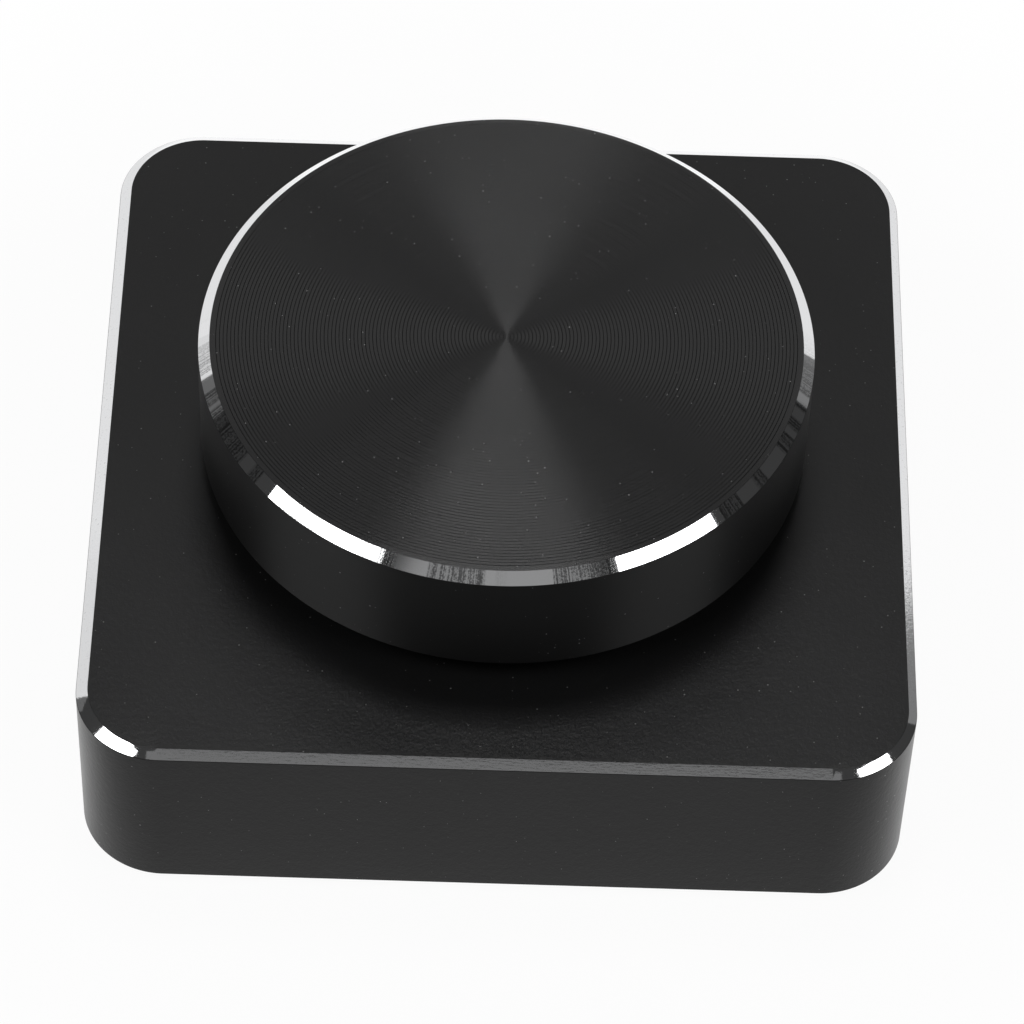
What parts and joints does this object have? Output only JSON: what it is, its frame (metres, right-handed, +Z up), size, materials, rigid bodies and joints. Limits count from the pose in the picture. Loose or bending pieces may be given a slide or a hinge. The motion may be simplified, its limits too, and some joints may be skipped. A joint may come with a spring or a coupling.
{
  "type": "usb volume control knob",
  "caption": "Square black desk base with a large round knob on top that turns without end and presses down as a button; USB-C socket in the back.",
  "frame": {"origin": "under the middle of the non-slip pad, on the desk, on the knob's axis", "axes": "+Z up along the knob's axis, -Y towards the user at the front, +Y towards the back with the USB socket, +X to the user's right"},
  "size_m": [0.06, 0.06, 0.0272],
  "materials": {
    "blasted_black_metal": "bead-blasted black anodised aluminium with a bright cut edge",
    "turned_black_metal": "black anodised aluminium with a turned top, a satin side and a bright cut ring",
    "zinc_plated_steel": "zinc-plated sheet steel",
    "black_screw_steel": "blackened screw steel",
    "bright_screw_steel": "bright zinc-plated screw steel",
    "pad_rubber": "matt black silicone rubber",
    "board_laminate": "green solder mask over laminate",
    "socket_steel": "nickel-plated drawn steel",
    "black_moulding": "black moulded plastic",
    "brown_moulding": "dark phenolic moulding",
    "white_moulding": "natural acetal moulding",
    "gold_plate": "gold-plated contact bronze",
    "spring_bronze": "bare spring bronze",
    "tinned_metal": "tin-plated copper alloy",
    "chip_epoxy": "black moulded epoxy",
    "ceramic_tan": "sintered ceramic with tinned ends",
    "die_cast_zinc": "die-cast zinc with a cut thread",
    "bright_shaft_steel": "ground steel",
    "spring_steel": "hardened spring steel"
  },
  "bodies": {
    "base": {"base_housing": "blasted_black_metal", "bottom_plate": "zinc_plated_steel", "bottom_plate_screws": "black_screw_steel", "rubber_pad": "pad_rubber", "main_board": "board_laminate", "board_screws": "bright_screw_steel", "usb_socket_shell": "socket_steel", "usb_socket_tongue": "black_moulding", "usb_contacts": "gold_plate", "controller_chip": "chip_epoxy", "controller_leads": "tinned_metal", "regulator_chip": "chip_epoxy", "crystal": "tinned_metal", "board_capacitors": "ceramic_tan", "board_resistors": "chip_epoxy", "encoder_frame": "zinc_plated_steel", "encoder_case": "brown_moulding", "encoder_bush": "die_cast_zinc", "encoder_washer": "zinc_plated_steel", "encoder_nut": "zinc_plated_steel", "encoder_terminals": "tinned_metal", "contact_wipers": "gold_plate", "detent_spring": "spring_bronze", "switch_case": "black_moulding", "switch_dome": "spring_steel"},
    "wheel": {"detent_wheel": "white_moulding", "code_disc": "gold_plate"},
    "knob": {"encoder_shaft": "bright_shaft_steel", "knob_insert": "black_moulding", "knob_clip": "spring_steel", "knob_cap": "turned_black_metal"},
    "plunger": {"switch_plunger": "white_moulding"}
  },
  "joints": [
    {"name": "knob_turn", "type": "hinge", "parent": "base", "child": "wheel", "pos_m": [0, 0, 0.0092], "axis": [0, 0, 1], "continuous": true},
    {"name": "knob_press", "type": "slide", "parent": "wheel", "child": "knob", "axis": [0, 0, 1], "range_m": [-0.0005, 0], "stiffness_N_per_m": 6000, "springref_m": 0.0005},
    {"name": "plunger_press", "type": "slide", "parent": "base", "child": "plunger", "axis": [0, 0, 1], "range_m": [-0.0005, 0], "deforming": ["switch_dome"]}
  ],
  "couplings": [
    {"joint": "plunger_press", "follows": "knob_press", "ratio": 1}
  ]
}
